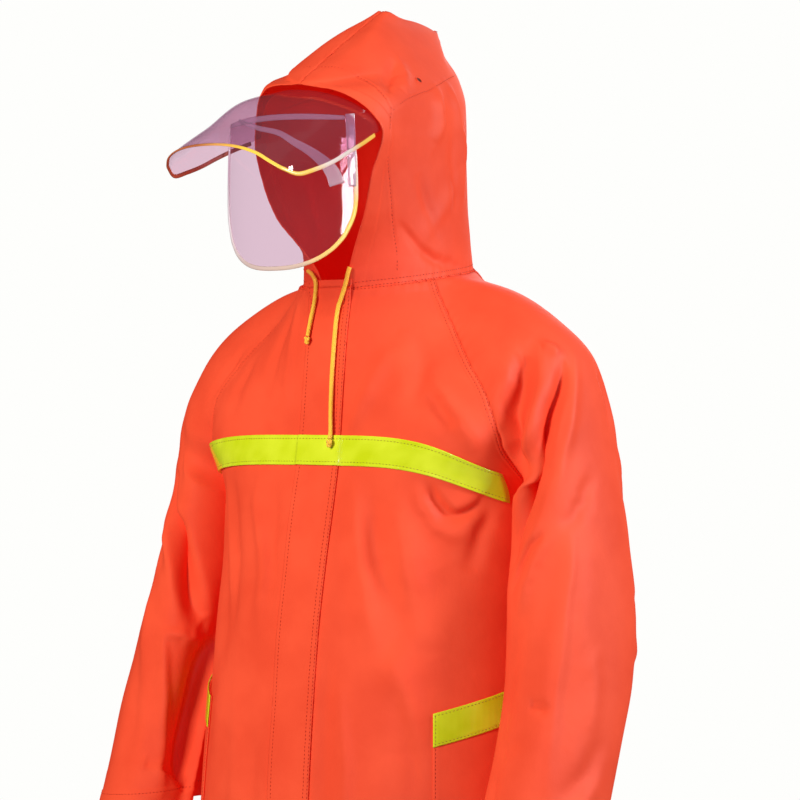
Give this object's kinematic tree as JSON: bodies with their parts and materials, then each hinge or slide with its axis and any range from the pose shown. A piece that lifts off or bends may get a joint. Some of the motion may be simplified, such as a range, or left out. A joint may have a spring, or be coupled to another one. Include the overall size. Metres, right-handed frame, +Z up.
{
  "type": "hooded raincoat with clear visor",
  "caption": "Orange-red hooded rain jacket, filled out as worn, with a clear brim and face shield, reflective chest and pocket tape, front placket and hood drawcord.",
  "frame": {"origin": "centre of the neck ring, where the hood is sewn to the coat and the wearer's shoulders and neck carry it", "axes": "+Z up, -Y to the wearer's front, +X to the wearer's left sleeve"},
  "size_m": [0.7007, 0.4958, 1.0961],
  "materials": {
    "cloth": "orange-red coated rainwear cloth, softly glossy",
    "tape": "fluorescent yellow retroreflective tape",
    "clear": "clear flexible vinyl, faintly lavender",
    "binding": "yellow bias binding",
    "cord": "yellow braided cord"
  },
  "bodies": {
    "root": {"front_left": "cloth", "front_right": "cloth", "back": "cloth", "sleeve_left": "cloth", "sleeve_right": "cloth", "hood_left": "cloth", "hood_right": "cloth", "placket": "cloth", "pocket_left": "cloth", "pocket_right": "cloth", "pocket_tape_left": "tape", "pocket_tape_right": "tape", "chest_tape": "tape", "brim": "clear", "shield": "clear", "shield_hem": "clear", "brim_binding": "binding", "shield_binding": "binding", "drawcord_left": "cord", "drawcord_right": "cord", "drawcord_knot_left": "cord", "drawcord_knot_right": "cord"}
  },
  "joints": []
}
